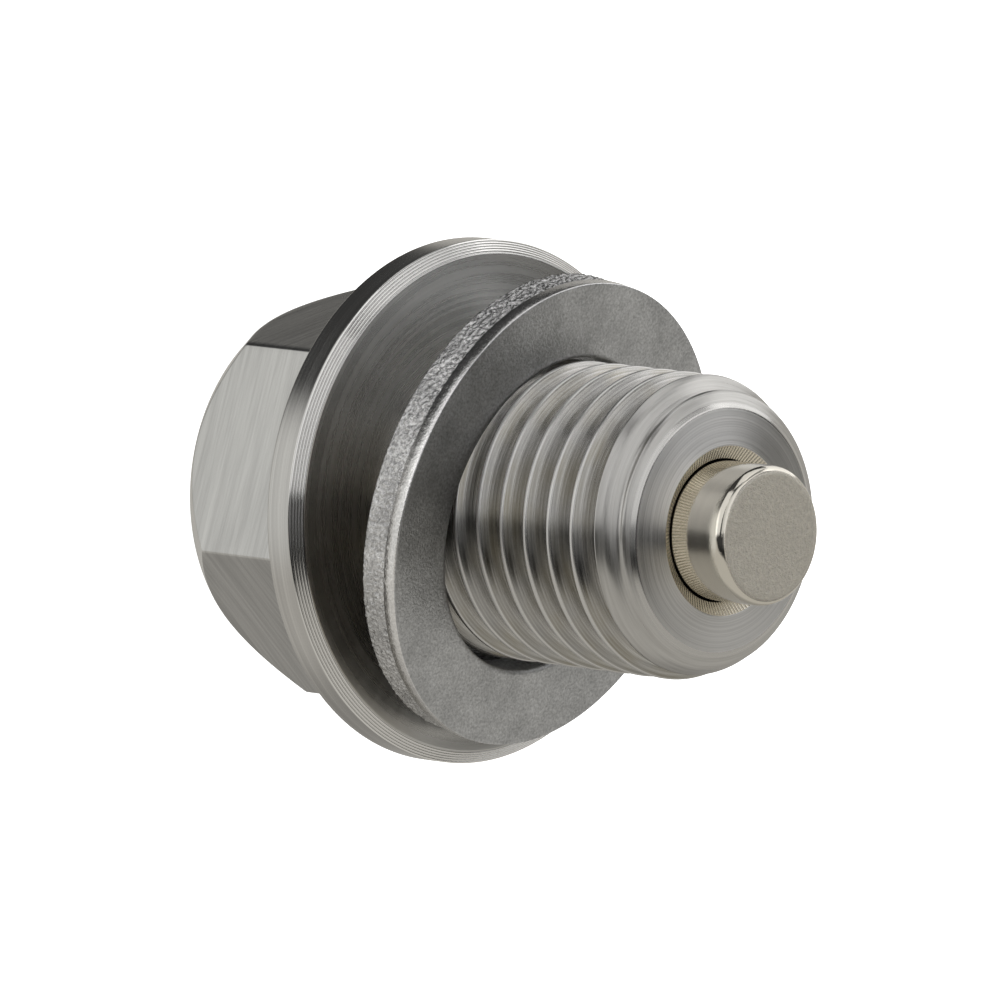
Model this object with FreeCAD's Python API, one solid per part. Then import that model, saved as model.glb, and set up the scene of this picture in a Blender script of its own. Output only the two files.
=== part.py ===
# Magnetic oil drain plug, M14 x 1.5, with its loose sealing ring.
# Millimetres. +Z runs along the thread axis from the head to the magnet, and the flat end
# of the hex head stands on z = 0. Two of the hexagon's flats face +X and -X.
# Angles are in degrees, counter-clockwise seen from the magnet end.
import FreeCAD, Part
import math
import os

from FreeCAD import Rotation, Vector

# Hex head
hex_across_flats = 17.0
hex_height = 9.0
hex_end_inset = 0.1          # how far the flat end's circle stays inside the flats
hex_chamfer_angle = 35.0     # corner cone, measured from the axis

# Flange
flange_d = 24.2
flange_thickness = 1.85
flange_bevel_width = 0.55    # turned bevel round the front edge
flange_bevel_depth = 0.4
flange_back_break = 0.15     # small bevel round the back edge

# Thread, right hand
thread_d = 14.0
thread_pitch = 1.5
thread_start_angle = 34.0
thread_end_angle = 102.0     # where the groove leaves the shank, on the last turn
flank_angle = 30.0           # each flank, measured from a plane square to the axis
crest_share = 0.125          # flat crest, as a share of the pitch
depth_share = 0.6134         # groove depth, as a share of the pitch
groove_overshoot = 0.23      # how far the groove's section reaches out past the crests

# Shank: a relief neck under the flange, then the thread, then two cones down to the tip
neck_length = 2.3
neck_undercut = 0.03         # the neck's radius stays this far under the thread's root
neck_play = 0.04             # room between the neck's end and the groove's first section
neck_shoulder_angle = 60.0   # measured from the axis
shank_length = 15.39         # flange face to the edge of the tip's face
lead_cone_length = 1.24      # long cone after the last crest
lead_cone_drop = 0.66
edge_cone_length = 0.48      # short cone at the tip's edge
edge_cone_drop = 0.74
tip_face_rise = 0.22         # the tip's face rises towards the socket

# Magnet and its socket
magnet_d = 6.4
magnet_length = 8.0
magnet_proud = 2.86          # how far the magnet stands out of the socket's mouth
magnet_edge_round = 0.5
magnet_edge_steps = 2        # bevels that make up the rounded edge
magnet_clearance = 0.07
socket_mouth_width = 0.62    # countersink round the socket
socket_mouth_depth = 0.36

# Sealing ring, punched from sheet and loose on the thread
ring_d = 22.0
ring_thickness = 2.0
ring_clearance = 0.445       # radial, round the thread's crests
ring_lean = 12.9             # the ring hangs on a crest of the thread and leans back to the flange
ring_lean_direction = 132.0  # the side on which its edge meets the flange
ring_contact_gap = 0.02

# Helper shapes reach this far past the metal that they shape
cut_margin = 1.0

# Sizes worked out from the ones above
flange_r = flange_d / 2
thread_r = thread_d / 2
thread_depth = thread_pitch * depth_share
root_r = thread_r - thread_depth
neck_r = root_r - neck_undercut
tan_flank = math.tan(math.radians(flank_angle))
groove_mouth = thread_pitch * (1 - crest_share)
groove_outer_width = groove_mouth + 2 * groove_overshoot * tan_flank
groove_root_width = groove_mouth - 2 * thread_depth * tan_flank
flange_back_z = hex_height
flange_face_z = flange_back_z + flange_thickness
neck_end_z = flange_face_z + neck_length
groove_start_z = neck_end_z - neck_play - groove_outer_width / 2
tip_edge_z = flange_face_z + shank_length
lead_cone_end_z = tip_edge_z - edge_cone_length
thread_land_end_z = lead_cone_end_z - lead_cone_length
lead_cone_end_r = thread_r - lead_cone_drop
tip_edge_r = lead_cone_end_r - edge_cone_drop
magnet_r = magnet_d / 2
socket_r = magnet_r + magnet_clearance
socket_mouth_r = socket_r + socket_mouth_width
socket_mouth_z = tip_edge_z + tip_face_rise
socket_floor_z = socket_mouth_z + magnet_proud - magnet_length
ring_bore_r = thread_r + ring_clearance


def turned(points):
    """Solid of revolution round Z from (radius, height) points."""
    outline = Part.makePolygon([Vector(r, 0, z) for r, z in points + points[:1]])
    return Part.Face(outline).revolve(Vector(0, 0, 0), Vector(0, 0, 1), 360)


def hex_head():
    """Hexagonal prism with its free corners turned down by a cone."""
    corner_r = hex_across_flats / 2 / math.cos(math.radians(30))
    corners = []
    for k in range(7):
        angle = math.radians(60 * k + 30)
        corners.append(Vector(corner_r * math.cos(angle), corner_r * math.sin(angle), 0))
    prism = Part.Face(Part.makePolygon(corners)).extrude(Vector(0, 0, flange_back_z))
    end_r = hex_across_flats / 2 - hex_end_inset
    wide_r = corner_r + cut_margin
    cone_height = (wide_r - end_r) / math.tan(math.radians(hex_chamfer_angle))
    top_z = flange_back_z + cut_margin
    turning = turned([(0, 0), (end_r, 0), (wide_r, cone_height), (wide_r, top_z), (0, top_z)])
    return prism.common(turning)


def flange_and_shank():
    """Everything turned round the axis in front of the hexagon, without the thread."""
    shoulder = (thread_r - neck_r) / math.tan(math.radians(neck_shoulder_angle))
    return turned([
        (0, flange_back_z),
        (flange_r - flange_back_break, flange_back_z),
        (flange_r, flange_back_z + flange_back_break),
        (flange_r, flange_face_z - flange_bevel_depth),
        (flange_r - flange_bevel_width, flange_face_z),
        (neck_r, flange_face_z),
        (neck_r, neck_end_z),
        (thread_r, neck_end_z + shoulder),
        (thread_r, thread_land_end_z),
        (lead_cone_end_r, lead_cone_end_z),
        (tip_edge_r, tip_edge_z),
        (socket_mouth_r, socket_mouth_z),
        (socket_r, socket_mouth_z - socket_mouth_depth),
        (socket_r, socket_floor_z),
        (0, socket_floor_z),
    ])


def groove_cutter(turns, runs_out):
    """Part of the thread's groove as a solid, from its own start at angle 0 and height 0."""
    helix = Part.makeHelix(thread_pitch, turns * thread_pitch, thread_r)
    edges = list(helix.Edges)
    if runs_out:
        angle = 2 * math.pi * turns
        end = Vector(thread_r * math.cos(angle), thread_r * math.sin(angle), turns * thread_pitch)
        along = Vector(-math.sin(angle), math.cos(angle), thread_pitch / (2 * math.pi * thread_r))
        clear_length = math.sqrt((thread_r + thread_depth) ** 2 - root_r ** 2)
        edges.append(Part.makeLine(end, end + along * clear_length))
    outer_r = thread_r + groove_overshoot
    section = Part.makePolygon([
        Vector(root_r, 0, -groove_root_width / 2),
        Vector(outer_r, 0, -groove_outer_width / 2),
        Vector(outer_r, 0, groove_outer_width / 2),
        Vector(root_r, 0, groove_root_width / 2),
        Vector(root_r, 0, -groove_root_width / 2),
    ])
    sweep = Part.BRepOffsetAPI.MakePipeShell(Part.Wire(edges))
    sweep.setBiNormalMode(Vector(0, 0, 1))
    sweep.add(section, False, False)
    sweep.build()
    sweep.makeSolid()
    return sweep.shape()


def plug_body():
    """Hex head, flange and threaded shank, turned and rolled as one piece.

    The groove starts in the relief neck, climbs one turn at a time and leaves along a tangent
    where the lead cone begins.
    """
    body = hex_head().fuse(flange_and_shank()).removeSplitter()
    part_turn = (thread_end_angle - thread_start_angle) / 360
    whole_turns = round((thread_land_end_z - groove_start_z) / thread_pitch - part_turn)
    one_turn = groove_cutter(1, False)
    cutters = [one_turn.copy() for _ in range(whole_turns)] + [groove_cutter(part_turn, True)]
    for k, cutter in enumerate(cutters):
        cutter.rotate(Vector(0, 0, 0), Vector(0, 0, 1), thread_start_angle)
        cutter.translate(Vector(0, 0, groove_start_z + k * thread_pitch))
        body = body.cut(cutter)
    return body


def magnet():
    """Round bar magnet standing on the floor of its socket, with its free edge rounded."""
    round_r = magnet_r - magnet_edge_round
    round_z = socket_floor_z + magnet_length - magnet_edge_round
    outline = [(0, socket_floor_z), (magnet_r, socket_floor_z)]
    for k in range(magnet_edge_steps + 1):
        angle = math.radians(90 * k / magnet_edge_steps)
        outline.append((round_r + magnet_edge_round * math.cos(angle),
                        round_z + magnet_edge_round * math.sin(angle)))
    return turned(outline + [(0, round_z + magnet_edge_round)])


def sealing_ring():
    """Flat punched ring, hung on a crest of the thread and leaning back against the flange."""
    outer_r = ring_d / 2
    half = ring_thickness / 2
    ring = turned([(ring_bore_r, -half), (outer_r, -half), (outer_r, half), (ring_bore_r, half)])
    sine = math.sin(math.radians(ring_lean))
    cosine = math.cos(math.radians(ring_lean))
    # On the raised side the upper corner of the bore just clears the thread's crests.
    shift = ring_bore_r * cosine - half * sine - thread_r - ring_contact_gap
    # On the other side the lower edge of the ring just clears the flange.
    lift = outer_r * sine + half * cosine + ring_contact_gap
    direction = math.radians(ring_lean_direction)
    toward = Vector(math.cos(direction), math.sin(direction), 0)
    hinge = Vector(0, 0, 1).cross(toward)
    ring.Placement = FreeCAD.Placement(
        toward * shift + Vector(0, 0, flange_face_z + lift), Rotation(hinge, ring_lean))
    return ring


def main():
    os.makedirs("parts", exist_ok=True)
    pieces = {
        "plug_body": plug_body(),
        "magnet": magnet(),
        "sealing_washer": sealing_ring(),
    }
    for name, shape in pieces.items():
        print(name, shape.ShapeType, "valid", shape.isValid(), "volume", round(shape.Volume, 3),
              "faces", len(shape.Faces))
        shape.exportStep(f"parts/{name}.step")


main()
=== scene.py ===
import math

import bmesh
import bpy
import numpy as np
from mathutils import Matrix, Vector, noise


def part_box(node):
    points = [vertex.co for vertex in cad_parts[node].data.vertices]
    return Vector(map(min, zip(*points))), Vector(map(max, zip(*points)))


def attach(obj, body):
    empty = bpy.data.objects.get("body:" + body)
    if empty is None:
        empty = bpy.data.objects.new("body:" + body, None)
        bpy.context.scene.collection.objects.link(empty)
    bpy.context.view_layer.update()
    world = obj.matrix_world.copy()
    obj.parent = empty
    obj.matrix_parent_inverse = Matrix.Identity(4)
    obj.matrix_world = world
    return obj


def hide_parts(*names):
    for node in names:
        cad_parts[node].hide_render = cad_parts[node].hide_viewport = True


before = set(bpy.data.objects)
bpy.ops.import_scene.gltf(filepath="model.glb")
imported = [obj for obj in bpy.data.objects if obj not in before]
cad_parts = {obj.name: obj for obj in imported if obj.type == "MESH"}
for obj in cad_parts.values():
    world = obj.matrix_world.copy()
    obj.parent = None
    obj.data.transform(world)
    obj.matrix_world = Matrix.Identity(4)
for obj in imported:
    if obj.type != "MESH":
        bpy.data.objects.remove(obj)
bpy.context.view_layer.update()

# Lengths below are in millimetres and angles in degrees, unless a name says otherwise.
MM = 0.001
merge_distance = 2e-7        # metres

# Camera: the photograph's viewing angle, and where the picture's centre lies from the head's end
view_azimuth = 7.47          # of the camera, counter-clockwise from +X
view_elevation = 45.07
view_roll = 96.76
view_distance = 743.31
centre_right = 8.312
centre_up = -0.8
lens_mm = 576.0
sensor_mm = 36.0
camera_reach = 20.0          # metres

# Light round the plug. Glows are radiances, as the metal mirrors them.
lamp_distance = 600.0
picture_tilt = 26.0          # how far the photograph looks down on its own table
table_glow = (0.56, 0.545, 0.51)
table_glow_behind = (0.33, 0.32, 0.3)
left_glow = (0.77, 0.77, 0.75)
wall_glow = (0.05, 0.05, 0.05)
pale_wall_glow = (0.3, 0.3, 0.3)
gap_glow = (0.02, 0.02, 0.02)
floor_light = 1.6
floor_light_angle = 150.0    # so wide that it casts no edge of a shadow
floor_glow = 0.95
floor_half_size = 3.0        # metres
floor_drop = 0.02            # below the head's end, so that the two don't lie in one plane

# Plug, as in the solid model
body_high = np.array(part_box("plug_body")[1]) / MM
flange_r = body_high[0]
socket_mouth_z = body_high[2]
across_flats = 17.0
hex_height = 9.0
hex_end_inset = 0.1
hex_chamfer_angle = 35.0
flange_face_z = 10.85
flange_bevel_width = 0.55
flange_bevel_depth = 0.4
thread_r = 7.0
thread_pitch = 1.5
thread_start_angle = 34.0
flank_angle = 30.0
crest_share = 0.125
depth_share = 0.6134
neck_length = 1.0            # the solid's neck is longer, to save faces behind the ring
neck_undercut = 0.03
neck_shoulder_angle = 60.0
lead_cone_end_r = 6.34
tip_edge_r = 5.6
thread_land_end = 13.67      # heights above the flange's face
lead_cone_end = 14.91
tip_edge = 15.39
socket_r = 3.27
socket_mouth_width = 0.62
socket_mouth_depth = 0.36
groove_start = -0.029

# Worked out from the sizes above
thread_depth = thread_pitch * depth_share
root_r = thread_r - thread_depth
neck_r = root_r - neck_undercut
groove_half_mouth = thread_pitch * (1 - crest_share) / 2
lead_cone_slope = (thread_r - lead_cone_end_r) / (lead_cone_end - thread_land_end)
edge_cone_slope = (lead_cone_end_r - tip_edge_r) / (tip_edge - lead_cone_end)
bevel_start_z = flange_face_z - flange_bevel_depth
socket_mouth_r = socket_r + socket_mouth_width

# Finer than the solid model: how far roundings reach, and the flange bevel's turned lines
hex_corner_round = 0.2
hex_edge_round = 0.07
hex_root_fillet = 0.25       # where the flats meet the flange's back
rim_round = 0.12
bevel_lines = 5
bevel_line_depth = 0.06
neck_fillet = 0.3
neck_shoulder_round = 0.08
lead_cone_round = 0.06
edge_cone_round = 0.05
crest_round = 0.06
root_round = 0.14
tip_edge_round = 0.05
socket_edge_round = 0.03

# One turned line of the bevel, as (share of its width, share of its depth)
bevel_line_section = (
    (0.0, 0.3), (0.06, 0.0), (0.3, 0.0), (0.55, 0.0), (0.66, 0.35), (0.83, 1.0),
)

# Where rows and columns of points lie
flat_columns = 22            # columns of faces on each half of a hexagon's flat
hex_edge_steps = 3
hex_root_steps = 4
corner_cone_rows = (0.1, 0.5, 0.9)               # shares of the cone's height
flat_rows = (0.02, 0.3, 0.6, 0.97)               # shares of the flats' height
support_reach = 1.6          # rows that keep faces flat stand this far off, in roundings
edge_rest = 0.1              # rows that keep faces flat beside a sharp edge
end_rest = 3.0               # the same on the head's end, in roundings
fillet_rest = 1.3            # the same beside the hexagon's root, in fillets
face_row_r = 9.0             # one more row on the flange's face
flange_back_width = 1.0      # of the flange's back, from the rim inwards
thread_rows_start = 0.6      # above the flange's face, where the neck's rows end
tip_rest = 0.14              # left of the last cone beyond the thread's rows
socket_rest = 1.0            # from the countersink to the first row in the socket
root_rows = (0, 0.09, 0.17, 0.28, 0.4, 0.52)     # to each side of the groove's middle
mouth_rows = (-0.06, -0.02, 0.03)                # by the groove's mouth
crest_row = 0.03                                 # short of the crest's middle
spare_turns = 2              # of rows, before those outside the thread are dropped
far_outside = 99.0           # stands for a groove that isn't there
tip_face_inset = 0.04        # the tip face's material starts this far inside its edge
socket_margin = 0.01         # and the socket's this far outside its wall
angle_tolerance = 1e-9       # radians

# Magnet
magnet_low, magnet_high = (np.array(corner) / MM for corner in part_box("magnet"))
magnet_r = magnet_high[0]
magnet_round = 0.5
magnet_foot_round = 0.2      # hidden in the socket
magnet_round_steps = 10
magnet_columns = 144

# Sealing ring, as in the solid model
ring_r = 11.0
ring_bore_r = 7.445
ring_thickness = 2.0
ring_lean = 12.9
ring_lean_direction = 132.0
ring_contact_gap = 0.02

# The ring's punched edges, finer than the solid model. Heights are from the ring's middle.
ring_bore_round = 0.22
ring_edge_round = 0.07
smooth_band_low = 0.3        # the torn band starts here
smooth_band_rest = 0.05
smooth_band_rows = 5
torn_rows = 20
torn_depth = 0.09
torn_foot = 0.04             # bevel under the torn band
torn_grain = 5.0             # lumps of the tear, per millimetre
torn_relief = 0.06
torn_layers = (0.7, 2.1, 3)  # noise: how smooth, how much finer each layer is, how many layers
ring_columns = 1080


def camera_axes():
    """Right, up and back of the camera, in the row frame."""
    azimuth, elevation, roll = (math.radians(a) for a in (view_azimuth, view_elevation, view_roll))
    back = Vector((math.cos(elevation) * math.cos(azimuth),
                   math.cos(elevation) * math.sin(azimuth),
                   math.sin(elevation)))
    level = Vector((0, 0, 1)).cross(back).normalized()
    upright = back.cross(level)
    right = level * math.cos(roll) + upright * math.sin(roll)
    return right, back.cross(right), back


right, up, back = camera_axes()
picture_centre = (right * centre_right + up * centre_up) * MM


def smooth_min(a, b, width):
    """The smaller of two values, with a rounded passage where they are closer than width."""
    share = np.clip(0.5 + 0.5 * (b - a) / width, 0, 1)
    return b * (1 - share) + a * share - width * share * (1 - share)


def smooth_max(a, b, width):
    return -smooth_min(-a, -b, width)


def bezier(start, corner, end, steps):
    """Points of a rounded corner, each an (r, z) pair of numbers or arrays."""
    points = []
    for k in range(steps + 1):
        t = k / steps
        points.append(tuple((1 - t) ** 2 * a + 2 * t * (1 - t) * c + t * t * b
                            for a, c, b in zip(start, corner, end)))
    return points


def outline(corners, steps=4):
    """Points of a turned outline from (r, z, rounding) corners, with rows that keep faces flat."""
    points = [corners[0][:2]]
    for before, (r, z, leg), after in zip(corners, corners[1:], corners[2:]):
        if leg == 0:
            points.append((r, z))
            continue
        corner = np.array((r, z))
        to_before = np.array(before[:2]) - corner
        to_after = np.array(after[:2]) - corner
        room = min(np.linalg.norm(to_before), np.linalg.norm(to_after))
        to_before /= np.linalg.norm(to_before)
        to_after /= np.linalg.norm(to_after)
        support = support_reach * leg
        if support < room / 2:
            points.append(tuple(corner + to_before * support))
        start, end = (tuple(corner + way * leg) for way in (to_before, to_after))
        points += bezier(start, (r, z), end, steps)
        if support < room / 2:
            points.append(tuple(corner + to_after * support))
    return points + [corners[-1][:2]]


def add_object(name, data):
    """A new object in the scene's collection."""
    item = bpy.data.objects.new(name, data)
    bpy.context.scene.collection.objects.link(item)
    return item


def mesh_piece(name, vertices, faces, materials, face_materials):
    """A smooth-shaded object in metres from millimetre vertices, with doubled points merged."""
    mesh = bpy.data.meshes.new(name)
    mesh.from_pydata([tuple(v) for v in np.asarray(vertices) * MM], [], faces)
    mesh.polygons.foreach_set("material_index", face_materials)
    mesh.polygons.foreach_set("use_smooth", [True] * len(faces))
    work = bmesh.new()
    work.from_mesh(mesh)
    bmesh.ops.remove_doubles(work, verts=work.verts, dist=merge_distance)
    bmesh.ops.dissolve_degenerate(work, edges=work.edges, dist=merge_distance)
    bmesh.ops.recalc_face_normals(work, faces=work.faces)
    work.to_mesh(mesh)
    work.free()
    for material in materials:
        mesh.materials.append(material)
    return add_object(name, mesh)


def grid(radius, height, angles, region, vertices, faces, regions):
    """Adds a block of rows round the axis to vertices, faces and regions.

    radius and height have a row per ring of points, and region is the index of a material.
    """
    base = len(vertices)
    rows, columns = radius.shape
    x = radius * np.cos(angles)
    y = radius * np.sin(angles)
    vertices.extend(np.stack([x, y, height], -1).reshape(-1, 3).tolist())
    for i in range(rows - 1):
        for j in range(columns - 1):
            a = base + i * columns + j
            faces.append((a, a + 1, a + columns + 1, a + columns))
            regions.append(region)


def hexagon_corner():
    """Distance of a rounded corner's centre from the axis, and the angle of its half."""
    cosine = math.cos(math.radians(30))
    centre = (across_flats / 2 - hex_corner_round) / cosine
    return centre, math.atan2(hex_corner_round / 2, centre + hex_corner_round * cosine)


def column_angles():
    """Angles of the columns in radians, closer together at the hexagon's rounded corners."""
    reach = math.degrees(hexagon_corner()[1])
    from_corner = [0, reach / 3, 2 * reach / 3, reach]
    from_corner += list(np.linspace(reach, 30, flat_columns + 1)[1:])
    half = 30 - np.array(from_corner)
    sector = sorted(set(np.round(np.concatenate([half, -half]), 6)))[:-1]
    angles = [60 * k + a for k in range(6) for a in sector]
    return np.radians(angles + [angles[0] + 360])


def hexagon_radius(angles):
    """Radius of the hexagon with rounded corners."""
    from_flat = (np.degrees(angles) + 30) % 60 - 30
    from_corner = np.radians(30 - np.abs(from_flat))
    centre, reach = hexagon_corner()
    straight = across_flats / 2 / np.cos(np.radians(from_flat))
    inside = np.maximum(hex_corner_round ** 2 - (centre * np.sin(from_corner)) ** 2, 0)
    arc = centre * np.cos(from_corner) + np.sqrt(inside)
    return np.where(from_corner <= reach + angle_tolerance, arc, straight)


def head_rows(angles):
    """Rows of the hex head: its turned end with the corner cone, and its milled flats."""
    hexagon = hexagon_radius(angles)
    ones = np.ones_like(angles)
    end_r = across_flats / 2 - hex_end_inset
    slope = math.tan(math.radians(hex_chamfer_angle))
    edge = hex_edge_round
    meet = (hexagon - end_r) / slope
    cone_low, cone_high = edge / 2, meet - edge / 2
    end = [(r * ones, 0 * ones) for r in (0, end_r / 2, end_r - end_rest * edge)]
    end += bezier((ones * (end_r - edge), 0 * ones), (ones * end_r, 0 * ones),
                  (ones * (end_r + slope * cone_low), ones * cone_low), hex_edge_steps)
    for share in corner_cone_rows:
        z = cone_low + (cone_high - cone_low) * share
        end.append((end_r + slope * z, z))
    flats = [end[-1]]
    flats += bezier((end_r + slope * cone_high, cone_high), (hexagon, meet),
                    (hexagon, meet + edge), hex_edge_steps)
    flat_low, flat_high = meet + edge, hex_height - hex_root_fillet
    for share in flat_rows:
        flats.append((hexagon, flat_low + (flat_high - flat_low) * share))
    flats += bezier((hexagon, ones * flat_high), (hexagon, ones * hex_height),
                    (hexagon + hex_root_fillet, ones * hex_height), hex_root_steps)
    flats.append((hexagon + fillet_rest * hex_root_fillet, ones * hex_height))
    return end, flats


def flange_rows():
    """Rim of the flange with its back edge, and the front bevel with its turned lines."""
    rim = outline([
        (flange_r - flange_back_width, hex_height, 0),
        (flange_r, hex_height, rim_round),
        (flange_r, bevel_start_z - edge_rest, 0),
        (flange_r, bevel_start_z, 0),
    ])
    start = np.array((flange_r, bevel_start_z))
    end = np.array((flange_r - flange_bevel_width, flange_face_z))
    inward = np.array((start[1] - end[1], end[0] - start[0]))
    inward /= np.linalg.norm(inward)
    bevel = []
    for line in range(bevel_lines):
        for share, dip in bevel_line_section:
            t = (line + share) / bevel_lines
            bevel.append(tuple(start + (end - start) * t + inward * dip * bevel_line_depth))
    bevel[0] = tuple(start)
    bevel.append(tuple(end))
    return rim, bevel


def face_rows():
    """Flange face and the foot of the relief neck."""
    return outline([
        (flange_r - flange_bevel_width, flange_face_z, 0),
        (flange_r - flange_bevel_width - edge_rest, flange_face_z, 0),
        (face_row_r, flange_face_z, 0),
        (neck_r, flange_face_z, neck_fillet),
        (neck_r, flange_face_z + thread_rows_start, 0),
    ])


def shank_radius(above_face):
    """Radius of the shank before the thread is cut, at heights above the flange's face."""
    shoulder = neck_r + (above_face - neck_length) * math.tan(math.radians(neck_shoulder_angle))
    rising = smooth_max(np.full_like(above_face, neck_r), shoulder, neck_shoulder_round)
    land = smooth_min(rising, np.full_like(above_face, thread_r), neck_shoulder_round)
    lead = thread_r - (above_face - thread_land_end) * lead_cone_slope
    edge = lead_cone_end_r - (above_face - lead_cone_end) * edge_cone_slope
    return smooth_min(smooth_min(land, lead, lead_cone_round), edge, edge_cone_round)


def groove_radius(above_face, angles):
    """Radius of the thread's groove, and far outside the shank before its start."""
    tan_flank = math.tan(math.radians(flank_angle))
    half_root = groove_half_mouth - thread_depth * tan_flank
    fraction = ((np.degrees(angles) - thread_start_angle) / 360) % 1
    nearest = np.round((above_face - groove_start) / thread_pitch - fraction)
    result = np.full_like(above_face, far_outside)
    for step in (-1, 0, 1):
        turns = nearest + step + fraction
        across = np.abs(above_face - groove_start - thread_pitch * turns)
        flank = root_r + (across - half_root) / tan_flank
        groove = smooth_max(root_r, flank, root_round)
        result = np.where(nearest + step >= 0, np.minimum(result, groove), result)
    return result


def thread_rows_of(angles):
    """Radius and height of rows that follow the thread's slope, cut off level at both ends.

    The groove's last turn fades out by itself where the lead cones are narrower than its root.
    """
    low, high = thread_rows_start, tip_edge - tip_rest
    half = thread_pitch / 2
    side = [*root_rows, *(groove_half_mouth + q for q in mouth_rows), half - crest_row]
    offsets = sorted({-q for q in side} | set(side) | {half})
    turn = angles / (2 * math.pi)
    phase = thread_start_angle / 360
    first = math.floor((low - groove_start) / thread_pitch) - spare_turns
    last = math.ceil((high - groove_start) / thread_pitch) + spare_turns
    heights = []
    for k in range(first, last):
        for offset in offsets:
            z = groove_start + thread_pitch * (k + turn - phase) + offset
            heights.append(np.clip(z, low, high))
    heights = np.array(heights)
    kept = np.flatnonzero((heights.max(1) > low) & (heights.min(1) < high))
    heights = heights[max(kept[0] - 1, 0):kept[-1] + 2]
    groove = groove_radius(heights, np.broadcast_to(angles, heights.shape))
    radius = smooth_min(shank_radius(heights), groove, crest_round)
    return np.where(heights <= low, neck_r, radius), heights + flange_face_z


def tip_rows():
    """The end of the last cone, the tip's face, the countersink and the socket to its floor."""
    return outline([
        (tip_edge_r + tip_rest * edge_cone_slope, flange_face_z + tip_edge - tip_rest, 0),
        (tip_edge_r, flange_face_z + tip_edge, tip_edge_round),
        (socket_mouth_r, socket_mouth_z, socket_edge_round),
        (socket_r, socket_mouth_z - socket_mouth_depth, socket_edge_round),
        (socket_r, socket_mouth_z - socket_mouth_depth - socket_rest, 0),
        (socket_r, magnet_low[2], 0),
        (0, magnet_low[2], 0),
    ])


def as_block(rows, angles):
    """Radius and height for grid, from (r, z) rows of numbers or arrays."""
    ones = np.ones_like(angles)
    return np.array([r * ones for r, _ in rows]), np.array([z * ones for _, z in rows])


def build_plug(materials):
    """The plug as one closed mesh. Each region of it has a material of its own."""
    angles = column_angles()
    vertices, faces, regions = [], [], []
    names = list(materials)
    end, flats = head_rows(angles)
    rim, bevel = flange_rows()
    blocks = [
        ("turned", end),
        ("milled", flats),
        ("turned", [flats[-1]] + rim),
        ("bevel", bevel),
        ("face", face_rows()),
    ]
    for region, rows in blocks:
        radius, height = as_block(rows, angles)
        grid(radius, height, angles, names.index(region), vertices, faces, regions)
    radius, height = thread_rows_of(angles)
    grid(radius, height, angles, names.index("thread"), vertices, faces, regions)
    tip = tip_rows()
    limits = (tip_edge_r - tip_face_inset, socket_mouth_r, socket_r + socket_margin)
    starts = [next(i for i, (r, _) in enumerate(tip) if r < limit) for limit in limits]
    tip_regions = ("turned", "tip", "countersink", "turned")
    for region, first, last in zip(tip_regions, [0] + starts, starts + [len(tip) - 1]):
        radius, height = as_block(tip[first:last + 1], angles)
        grid(radius, height, angles, names.index(region), vertices, faces, regions)
    piece = mesh_piece("plug_body_fine", vertices, faces, materials.values(), regions)
    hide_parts("plug_body")
    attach(piece, "root")


def build_magnet(materials):
    """Bar magnet with a rounded edge."""
    angles = np.linspace(0, 2 * math.pi, magnet_columns + 1)
    low, high = magnet_low[2], magnet_high[2]
    rows = outline([
        (0, low, 0),
        (magnet_r, low, magnet_foot_round),
        (magnet_r, high, magnet_round),
        (0, high, 0),
    ], magnet_round_steps)
    radius, height = as_block(rows, angles)
    vertices, faces, regions = [], [], []
    grid(radius, height, angles, 0, vertices, faces, regions)
    piece = mesh_piece("magnet_fine", vertices, faces, materials.values(), regions)
    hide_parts("magnet")
    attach(piece, "root")


def ring_place():
    """Where the leaning ring lies, as a matrix in millimetres.

    On its raised side the bore hangs on a crest, and on the other its edge meets the flange.
    """
    sine, cosine = math.sin(math.radians(ring_lean)), math.cos(math.radians(ring_lean))
    shift = ring_bore_r * cosine - ring_thickness / 2 * sine - thread_r - ring_contact_gap
    lift = ring_r * sine + ring_thickness / 2 * cosine + ring_contact_gap
    azimuth = math.radians(ring_lean_direction)
    toward = Vector((math.cos(azimuth), math.sin(azimuth), 0))
    hinge = Vector((0, 0, 1)).cross(toward)
    return (Matrix.Translation(toward * shift + Vector((0, 0, flange_face_z + lift)))
            @ Matrix.Rotation(math.radians(ring_lean), 4, hinge))


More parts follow.
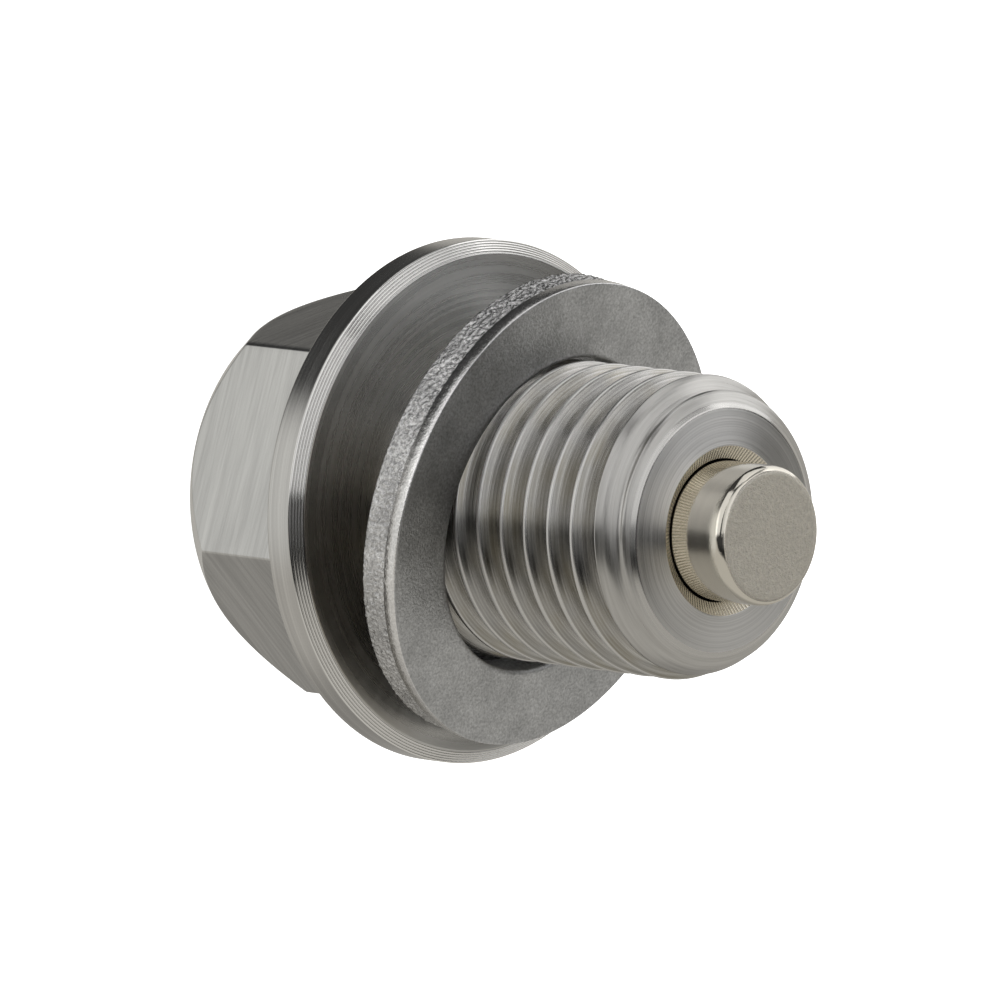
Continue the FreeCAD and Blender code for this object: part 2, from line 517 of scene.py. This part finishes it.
def build_ring(materials):
    """Punched ring: rolled edges at the bore, a smooth band and a torn band round the outside."""
    angles = np.linspace(0, 2 * math.pi, ring_columns + 1)
    half = ring_thickness / 2
    rows = outline([
        (ring_bore_r, 0, 0),
        (ring_bore_r, half, ring_bore_round),
        (ring_r, half, ring_edge_round),
        (ring_r, smooth_band_low + smooth_band_rest, 0),
    ])
    torn_start = len(rows)
    for k in range(torn_rows + 1):
        drop = (-half + torn_foot - smooth_band_low) * (k / torn_rows)
        rows.append((ring_r - torn_depth, smooth_band_low + drop))
    torn_end = len(rows)
    rows += outline([
        (ring_r - torn_depth - torn_foot, -half, 0),
        (ring_bore_r, -half, ring_bore_round),
        (ring_bore_r, 0, 0),
    ])
    radius, height = as_block(rows, angles)
    for i in range(torn_start, torn_end):
        for j, angle in enumerate(angles[:-1]):
            place = Vector((ring_r * math.cos(angle), ring_r * math.sin(angle), height[i, j]))
            rough = noise.fractal(place * torn_grain, *torn_layers) * torn_relief
            radius[i, j] += max(min(rough, torn_depth), -torn_depth)
    radius[:, -1] = radius[:, 0]
    names = list(materials)
    vertices, faces, regions = [], [], []
    grid(radius, height, angles, names.index("faces"), vertices, faces, regions)
    for index in range(len(faces)):
        row = index // ring_columns
        if torn_start <= row < torn_end - 1:
            regions[index] = names.index("torn")
        elif torn_start - smooth_band_rows <= row < torn_start:
            regions[index] = names.index("smooth")
    lean = ring_place()
    placed = np.array(vertices) @ np.array(lean.to_3x3()).T + np.array(lean.translation)
    piece = mesh_piece("sealing_washer_fine", placed, faces, materials.values(), regions)
    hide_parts("sealing_washer")
    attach(piece, "root")


class Tree:
    """Short calls for a node tree."""

    def __init__(self, tree):
        self.tree = tree

    def add(self, kind, **settings):
        node = self.tree.nodes.new(kind)
        for key, value in settings.items():
            setattr(node, key, value)
        return node

    def feed(self, socket, value):
        if isinstance(value, bpy.types.NodeSocket):
            self.tree.links.new(value, socket)
        else:
            socket.default_value = value

    def math(self, operation, *values):
        node = self.add("ShaderNodeMath", operation=operation)
        for socket, value in zip(node.inputs, values):
            self.feed(socket, value)
        return node.outputs[0]

    def combine(self, *values):
        node = self.add("ShaderNodeCombineXYZ")
        for socket, value in zip(node.inputs, values):
            self.feed(socket, value)
        return node.outputs[0]

    def ramp(self, factor, low, high, start=0.3, end=0.7, shape="LINEAR"):
        """Maps factor from start..end, by default a noise's usual range, to low..high."""
        node = self.add("ShaderNodeMapRange", interpolation_type=shape)
        limits = {"From Min": start, "From Max": end, "To Min": low, "To Max": high}
        for name, value in limits.items():
            node.inputs[name].default_value = value
        self.feed(node.inputs["Value"], factor)
        return node.outputs["Result"]

    def mix(self, factor, dark, light):
        """Blends two colours. Each is a socket or three numbers."""
        node = self.add("ShaderNodeMix", data_type="RGBA")
        self.feed(node.inputs[0], factor)
        for socket, value in ((node.inputs[6], dark), (node.inputs[7], light)):
            self.feed(socket, value if isinstance(value, bpy.types.NodeSocket) else (*value, 1))
        return node.outputs[2]


class Surface(Tree):
    """A material under construction, with its coordinates in millimetres."""

    def __init__(self, name, color, roughness, metallic=1.0):
        self.material = bpy.data.materials.new(name)
        self.material.use_nodes = True
        super().__init__(self.material.node_tree)
        self.inputs = self.tree.nodes["Principled BSDF"].inputs
        self.color = color
        self.feed(self.inputs["Base Color"], (*color, 1))
        self.feed(self.inputs["Roughness"], roughness)
        self.feed(self.inputs["Metallic"], metallic)
        scaled = self.add("ShaderNodeVectorMath", operation="SCALE")
        scaled.inputs["Scale"].default_value = 1 / MM
        self.feed(scaled.inputs[0], self.add("ShaderNodeTexCoord").outputs["Object"])
        self.place = scaled.outputs[0]
        split = self.add("ShaderNodeSeparateXYZ")
        self.feed(split.inputs[0], self.place)
        self.x, self.y, self.z = split.outputs
        squares = (self.math("MULTIPLY", v, v) for v in (self.x, self.y))
        self.radius = self.math("SQRT", self.math("ADD", *squares))

    def noise(self, vector, scale, detail=3.0, roughness=0.5):
        node = self.add("ShaderNodeTexNoise")
        node.inputs["Scale"].default_value = scale
        node.inputs["Detail"].default_value = detail
        node.inputs["Roughness"].default_value = roughness
        self.feed(node.inputs["Vector"], vector)
        return node.outputs["Fac"]

    def lines(self, across, density, along=0.03):
        """Noise that is drawn out along a tool's path. across grows from one mark to the next."""
        path = (self.math("MULTIPLY", v, along) for v in (self.x, self.y))
        stretched = self.combine(self.math("MULTIPLY", across, density), *path)
        return self.noise(stretched, scale=1.0, detail=4.0, roughness=0.65)

    def turning_lines(self, density):
        """Rings round the axis, on faces, cones and cylinders alike."""
        return self.lines(self.math("SUBTRACT", self.radius, self.z), density)

    def rough(self, factor, low, high):
        """Roughness from low to high along a factor."""
        self.feed(self.inputs["Roughness"], self.ramp(factor, low, high))

    def shade(self, factor, low, high):
        """Darkens and lightens the colour."""
        dark, light = (tuple(share * c for c in self.color) for share in (low, high))
        self.feed(self.inputs["Base Color"], self.mix(factor, dark, light))

    def bump(self, height, distance):
        """Relief in the normals. distance is its depth in millimetres."""
        node = self.add("ShaderNodeBump")
        node.inputs["Distance"].default_value = distance * MM
        self.feed(node.inputs["Height"], height)
        self.feed(self.inputs["Normal"], node.outputs["Normal"])

    def brushed_round(self, amount):
        """Draws reflections out across the turning marks. A rotation of 0.25 is a quarter turn."""
        tangent = self.add("ShaderNodeTangent", direction_type="RADIAL", axis="Z")
        self.feed(self.inputs["Tangent"], tangent.outputs[0])
        self.inputs["Anisotropic"].default_value = amount
        self.inputs["Anisotropic Rotation"].default_value = 0.25


def turned_steel(name, color, roughness, density, depth, drawn_out, contrast=0.12):
    """Steel from the lathe, with fine rings round the axis. contrast is how much they shade it."""
    surface = Surface(name, color, roughness)
    rings = surface.turning_lines(density)
    surface.bump(rings, depth)
    surface.rough(rings, 0.8 * roughness, 1.25 * roughness)
    surface.shade(surface.ramp(rings, 0, 1), 1 - contrast, 1 + contrast)
    surface.brushed_round(drawn_out)
    return surface.material


def bevel_steel():
    """Bright turned bevel, with painted shade that darkens the grooves between its lines."""
    surface = Surface("steel_bevel", (0.81, 0.8, 0.78), 0.1)
    groove_place = 0.8  # of the groove's middle, as a share of a line's width
    line = surface.math("MULTIPLY", surface.math("SUBTRACT", surface.z, bevel_start_z),
                        bevel_lines / flange_bevel_depth)
    from_groove = surface.math("SUBTRACT", surface.math("FRACT", line), groove_place)
    groove = surface.math("ABSOLUTE", from_groove)
    # Painted shade: the colour is darkened in the grooves between the lines.
    surface.shade(surface.ramp(groove, 0, 1, 0.1, 0.25), 0.18, 1.0)
    surface.brushed_round(0.2)
    return surface.material


def flange_face_steel():
    """Turned face, painted darker and browner round one azimuth and thinning out to both sides:
    partly a brown oil stain, partly painted shade of the gap between face and ring.
    """
    surface = Surface("steel_flange_face", (0.6, 0.595, 0.58), 0.27)
    rings = surface.turning_lines(3.0)
    surface.bump(rings, 0.0018)
    surface.rough(rings, 0.22, 0.32)
    # Painted shade, partly a brown oil stain: the colour darkens and browns round one azimuth,
    # standing for the shade between face and ring.
    oil_and_shade_azimuth = math.radians(32.0)
    side = surface.math("ADD", surface.math("MULTIPLY", surface.x, math.cos(oil_and_shade_azimuth)),
                        surface.math("MULTIPLY", surface.y, math.sin(oil_and_shade_azimuth)))
    cloud = surface.math("MULTIPLY", surface.noise(surface.place, scale=0.35), 0.3)
    oil_and_shade_amount = surface.math("ADD", surface.math("DIVIDE", side, surface.radius), cloud)
    brown_darkening = surface.ramp(oil_and_shade_amount, 0, 1, 0.7, 1.15)
    ringed = surface.ramp(rings, 0, 1)
    clean = surface.mix(ringed, (0.57, 0.565, 0.55), (0.65, 0.645, 0.63))
    # The darkened, browner copy of the face's colour: painted shade with an oil tint.
    oiled_and_shaded = surface.mix(ringed, (0.31, 0.29, 0.25), (0.4, 0.375, 0.33))
    surface.feed(surface.inputs["Base Color"], surface.mix(brown_darkening, clean, oiled_and_shaded))
    surface.brushed_round(0.85)
    return surface.material


def countersink_steel():
    """Steel with the short ribs that a countersink leaves when it chatters."""
    surface = Surface("steel_countersink", (0.72, 0.68, 0.59), 0.24)
    rib_count = 130.0
    angle = surface.math("ARCTAN2", surface.y, surface.x)
    ribs = surface.math("SINE", surface.math("MULTIPLY", angle, rib_count))
    surface.bump(ribs, 0.02)
    surface.shade(surface.ramp(ribs, 0, 1, -1, 1), 0.84, 1.12)
    return surface.material


def milled_steel():
    """Flats with fine milling marks that lean a little, and broader bands of light and dark."""
    surface = Surface("steel_milled", (0.57, 0.565, 0.55), 0.25)
    slant = surface.math("ADD", surface.x, surface.y)
    across = surface.math("ADD", surface.z, surface.math("MULTIPLY", slant, 0.04))
    marks = surface.lines(across, density=7.0, along=0.12)
    bands = surface.lines(across, density=1.3, along=0.1)
    surface.bump(marks, 0.003)
    surface.rough(marks, 0.14, 0.22)
    both = surface.math("ADD", surface.math("MULTIPLY", marks, 0.4),
                        surface.math("MULTIPLY", bands, 0.6))
    surface.shade(surface.ramp(both, 0, 1, 0.35, 0.65), 0.82, 1.18)
    return surface.material


def thread_steel():
    """Rolled thread with flanks painted dark as painted shade, crests painted light as a painted
    highlight that is partly wear, satin cones, and a faint film of oil.
    """
    surface = Surface("steel_thread", (0.56, 0.54, 0.5), 0.24)
    land_end_z = flange_face_z + thread_land_end
    streaks = surface.lines(surface.radius, density=11.0, along=0.2)
    surface.bump(streaks, 0.012)
    brown_darkening = surface.noise(surface.place, scale=0.45, detail=2.0)
    # Painted shade: the flanks' colour is darkened to stand for the shade in the grooves, and
    # browner still where oil lies.
    flank_painted_shade = (0.26, 0.255, 0.245)
    oiled_flank_painted_shade = (0.25, 0.23, 0.18)
    flank_light = (0.56, 0.55, 0.53)
    cone_dark, cone_light = (0.45, 0.44, 0.42), (0.61, 0.6, 0.58)
    # Painted highlight, partly wear: the crests on the shank are painted lighter than the flanks.
    crest_wear_and_highlight = (0.67, 0.66, 0.64)
    flank = surface.mix(surface.ramp(brown_darkening, 0, 1, 0.4, 0.65), flank_painted_shade, oiled_flank_painted_shade)
    crest = surface.ramp(surface.radius, 0, 1, thread_r - 0.07, thread_r - 0.03)
    on_shank = surface.ramp(surface.z, 1, 0, land_end_z - 0.1, land_end_z + 0.1)
    crest_on_shank = surface.math("MULTIPLY", crest, on_shank)
    streaked = surface.mix(surface.ramp(streaks, 0, 1), flank, flank_light)
    cone = surface.mix(surface.ramp(streaks, 0, 1), cone_dark, cone_light)
    rolled = surface.mix(on_shank, cone, streaked)
    surface.feed(surface.inputs["Base Color"], surface.mix(crest_on_shank, rolled, crest_wear_and_highlight))
    grain = surface.ramp(streaks, 0.17, 0.28)
    satin = surface.math("ADD", surface.math("MULTIPLY", crest_on_shank, 0.1),
                         surface.ramp(on_shank, 0.1, 0, 0, 1))
    surface.feed(surface.inputs["Roughness"], surface.math("ADD", grain, satin))
    surface.brushed_round(0.5)
    return surface.material


def nickel():
    """Nickel plate, bright on the magnet's side and speckled on its end."""
    surface = Surface("magnet_nickel", (0.7, 0.665, 0.59), 0.07)
    end = surface.ramp(surface.z, 0, 1, magnet_high[2] - 0.06, magnet_high[2] - 0.005)
    grain = surface.noise(surface.place, scale=6.5, detail=4.0, roughness=0.7)
    surface.bump(surface.math("MULTIPLY", grain, surface.ramp(end, 0.01, 1.0, 0, 1)), 0.4)
    surface.feed(surface.inputs["Roughness"], surface.ramp(end, 0.07, 0.36, 0, 1))
    speckle = surface.ramp(grain, -0.5, 0.5, 0.35, 0.65)
    surface.shade(surface.math("ADD", surface.math("MULTIPLY", speckle, end), 0.5), 0.94, 1.14)
    return surface.material


def ring_metal(name, color, roughness, grain_scale, grain_depth, contrast):
    """Sheet metal with a fine grain and faint clouds. contrast is how much the grain shades it."""
    surface = Surface(name, color, roughness)
    grain = surface.noise(surface.place, grain_scale, roughness=0.6)
    surface.bump(grain, grain_depth)
    cloud = surface.noise(surface.place, scale=0.5, detail=4.0, roughness=0.6)
    clouded = surface.ramp(cloud, 1 - 0.5 * contrast, 1 + 0.5 * contrast, 0.35, 0.65)
    grained = surface.ramp(grain, 1 - contrast, 1 + contrast, 0.3, 0.7)
    shade = surface.math("MULTIPLY", surface.math("MULTIPLY", clouded, grained), 0.5)
    surface.shade(shade, 0, 2)
    return surface.material


def add_floor():
    """Pale floor, lit up to white like the photo's ground. The metal doesn't mirror it."""
    half, top = floor_half_size, -floor_drop * MM
    corners = [(-half, -half, top), (half, -half, top), (half, half, top), (-half, half, top)]
    mesh = bpy.data.meshes.new("floor")
    mesh.from_pydata(corners, [], [(0, 1, 2, 3)])
    surface = Surface("floor_pale", (0.9, 0.9, 0.9), 0.9, metallic=0.0)
    surface.inputs["Specular IOR Level"].default_value = 0.0
    surface.inputs["Emission Color"].default_value = (1, 1, 1, 1)
    surface.inputs["Emission Strength"].default_value = floor_glow
    mesh.materials.append(surface.material)
    floor = add_object("floor", mesh)
    floor.visible_glossy = False
    floor.visible_shadow = False


def direction(azimuth, elevation):
    """Unit vector towards a place round the plug, given as it is seen in the picture.

    Azimuth is counted from the camera to the right, and elevation above the picture's level.
    """
    turn, tilt = math.radians(azimuth), math.radians(elevation)
    return (right * math.sin(turn) + back * math.cos(turn)) * math.cos(tilt) + up * math.sin(tilt)


def add_softbox(name, azimuth, elevation, width, height, radiance):
    """A rectangular lamp that faces the plug, with its place and size given as angles."""
    lamp = bpy.data.lights.new(name, "AREA")
    lamp.shape = "RECTANGLE"
    lamp.size = 2 * lamp_distance * math.tan(math.radians(width / 2)) * MM
    lamp.size_y = 2 * lamp_distance * math.tan(math.radians(height / 2)) * MM
    lamp.energy = radiance * math.pi * lamp.size * lamp.size_y  # watts
    item = add_object(name, lamp)
    toward = direction(azimuth, elevation)
    side = up.cross(toward).normalized()
    axes = Matrix((side, toward.cross(side), toward)).transposed().to_4x4()
    item.matrix_world = Matrix.Translation(picture_centre + toward * lamp_distance * MM) @ axes


def add_lights():
    """Softboxes that the metal mirrors, and a wide lamp overhead that only whitens the floor."""
    softboxes = (
        # name, azimuth, elevation, width, height, radiance
        ("left_box", -49, 31, 54, 66, 0.84),
        ("front_box", 20, 22, 56, 54, 0.66),
        ("side_box", 76, 24, 38, 30, 0.85),
        ("right_box", 128, 37, 58, 32, 1.0),
        ("top_box", 90, 79, 50, 42, 0.8),
    )
    for softbox in softboxes:
        add_softbox(*softbox)
    sun = bpy.data.lights.new("floor_light", "SUN")
    sun.energy = floor_light
    sun.angle = math.radians(floor_light_angle)
    add_object("floor_light", sun).visible_glossy = False


def add_world():
    """A dark room with a pale wall and a lit one, a dark gap at the horizon and a pale table."""
    world = bpy.data.worlds.new("studio")
    world.use_nodes = True
    tree = Tree(world.node_tree)
    ray = tree.add("ShaderNodeTexCoord").outputs["Generated"]

    def toward(axis):
        node = tree.add("ShaderNodeVectorMath", operation="DOT_PRODUCT")
        tree.feed(node.inputs[0], ray)
        node.inputs[1].default_value = axis
        return node.outputs["Value"]

    def zone(azimuth, elevation, edge, core):
        """1 round a direction and 0 away from it. edge and core are cosines of the distance."""
        return tree.ramp(toward(direction(azimuth, elevation)), 0, 1, edge, core, "SMOOTHSTEP")

    height = toward(direction(0, 90 - picture_tilt))
    pale_wall = zone(75, 10, 0.35, 0.75)
    room = tree.mix(pale_wall, wall_glow, pale_wall_glow)
    behind = zone(-170, -40, 0.75, 1.0)
    table = tree.mix(behind, table_glow, table_glow_behind)
    above = tree.ramp(height, 0, 1, -0.05, 0.1, "SMOOTHSTEP")
    glow = tree.mix(above, table, room)
    left = zone(-88, 6, 0.84, 0.98)
    glow = tree.mix(left, glow, left_glow)
    # The dark gap at the horizon widens to the right, and isn't there on the left.
    widened = tree.ramp(toward(direction(90, 0)), 1, 0.55, 0.2, 0.9)
    from_horizon = tree.math("MULTIPLY", tree.math("ABSOLUTE", height), widened)
    near = tree.ramp(from_horizon, 1, 0, 0.04, 0.15, "SMOOTHSTEP")
    not_left = zone(30, 0, -0.1, 0.3)
    glow = tree.mix(tree.math("MULTIPLY", near, not_left), glow, gap_glow)
    tree.feed(world.node_tree.nodes["Background"].inputs["Color"], glow)
    bpy.context.scene.world = world


def add_camera():
    """The camera that was fitted to the photograph."""
    camera = bpy.data.cameras.new("camera")
    camera.sensor_width = sensor_mm
    camera.lens = lens_mm
    camera.clip_end = camera_reach
    item = add_object("camera", camera)
    turn = Matrix((right, up, back)).transposed().to_4x4()
    item.matrix_world = Matrix.Translation(picture_centre + back * view_distance * MM) @ turn
    bpy.context.scene.camera = item


def main():
    build_plug({
        "turned": turned_steel("steel_turned", (0.57, 0.56, 0.54), roughness=0.2,
                               density=8.0, depth=0.003, drawn_out=0.4),
        "milled": milled_steel(),
        "bevel": bevel_steel(),
        "face": flange_face_steel(),
        "thread": thread_steel(),
        "tip": turned_steel("steel_tip_face", (0.695, 0.69, 0.68), roughness=0.34,
                            density=11.0, depth=0.01, drawn_out=0.8, contrast=0.18),
        "countersink": countersink_steel(),
    })
    build_magnet({"nickel": nickel()})
    build_ring({
        "faces": ring_metal("ring_faces", (0.505, 0.51, 0.515), roughness=0.4,
                            grain_scale=8.0, grain_depth=0.03, contrast=0.25),
        "torn": ring_metal("ring_torn_edge", (0.61, 0.605, 0.6), roughness=0.2,
                           grain_scale=6.5, grain_depth=0.09, contrast=0.35),
        "smooth": ring_metal("ring_smooth_edge", (0.78, 0.77, 0.76), roughness=0.22,
                             grain_scale=8.0, grain_depth=0.02, contrast=0.15),
    })
    add_floor()
    add_lights()
    add_world()
    add_camera()
    bpy.context.scene.view_settings.view_transform = "Standard"


main()
